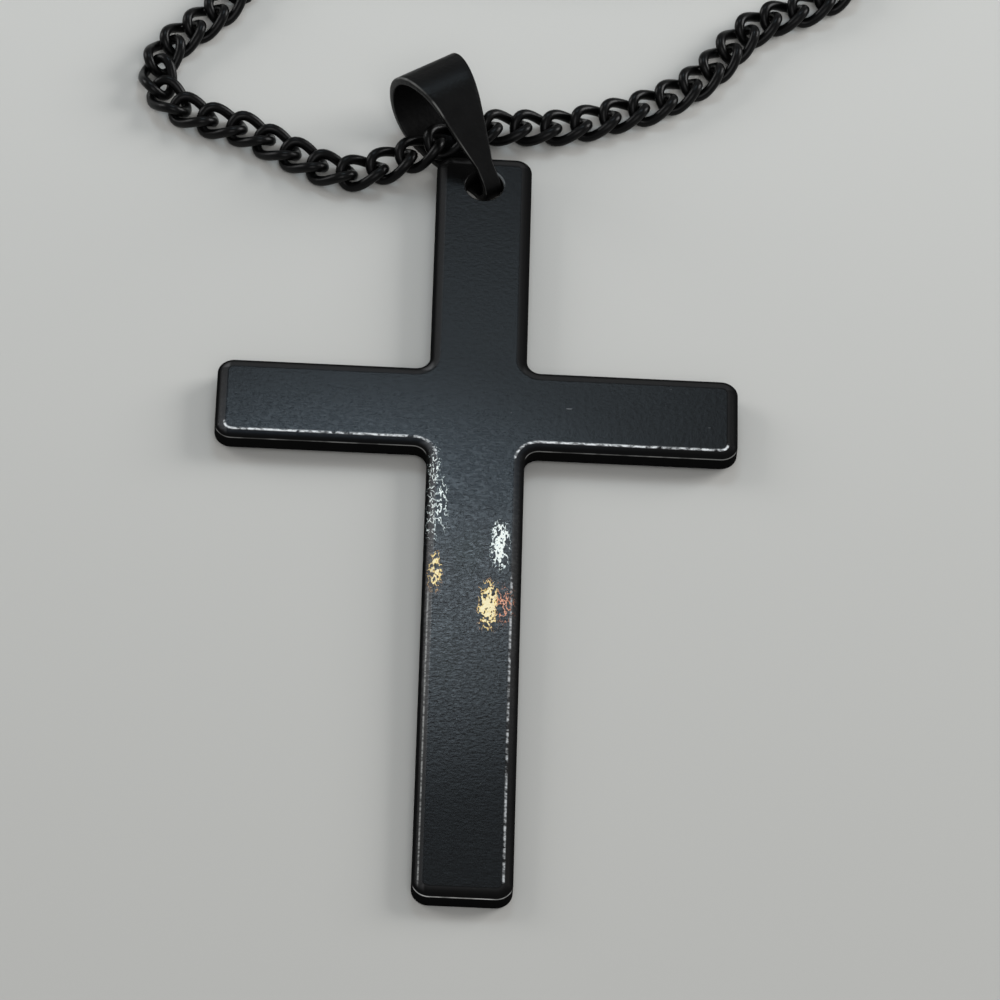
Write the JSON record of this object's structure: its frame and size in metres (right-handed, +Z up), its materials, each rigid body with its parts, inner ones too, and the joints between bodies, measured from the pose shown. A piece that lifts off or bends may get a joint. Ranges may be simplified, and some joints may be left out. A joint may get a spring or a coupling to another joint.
{
  "type": "cross pendant necklace",
  "caption": "Black-coated steel Latin cross pendant with eased edges, hung by a tapered strip bail on a twisted curb chain, laid flat.",
  "frame": {"origin": "middle of the base of the whole necklace's bounding box, on the table it lies on", "axes": "+Z up off the table, +Y from the cross's foot to its head and on to the stowed chain, +X to the right along the arms"},
  "size_m": [0.0451, 0.0982, 0.0055],
  "materials": {
    "cross_coat": "satin",
    "bail_coat": "satin",
    "chain_coat": "gloss"
  },
  "bodies": {
    "root": {"cross": "cross_coat", "bail": "bail_coat", "link_01": "chain_coat", "link_02": "chain_coat", "link_03": "chain_coat", "link_04": "chain_coat", "link_05": "chain_coat", "link_06": "chain_coat", "link_07": "chain_coat", "link_08": "chain_coat", "link_09": "chain_coat", "link_10": "chain_coat", "link_11": "chain_coat", "link_12": "chain_coat", "link_13": "chain_coat", "link_14": "chain_coat", "link_15": "chain_coat", "link_16": "chain_coat", "link_17": "chain_coat", "link_18": "chain_coat", "link_19": "chain_coat", "link_20": "chain_coat", "link_21": "chain_coat", "link_22": "chain_coat", "link_23": "chain_coat", "link_24": "chain_coat", "link_25": "chain_coat", "link_26": "chain_coat", "link_27": "chain_coat", "link_28": "chain_coat", "link_29": "chain_coat", "link_30": "chain_coat", "link_31": "chain_coat", "link_32": "chain_coat", "far_chain_left": "chain_coat", "far_chain_right": "chain_coat", "join_ring_left": "chain_coat", "join_ring_right": "chain_coat", "clasp": "chain_coat"}
  },
  "joints": []
}
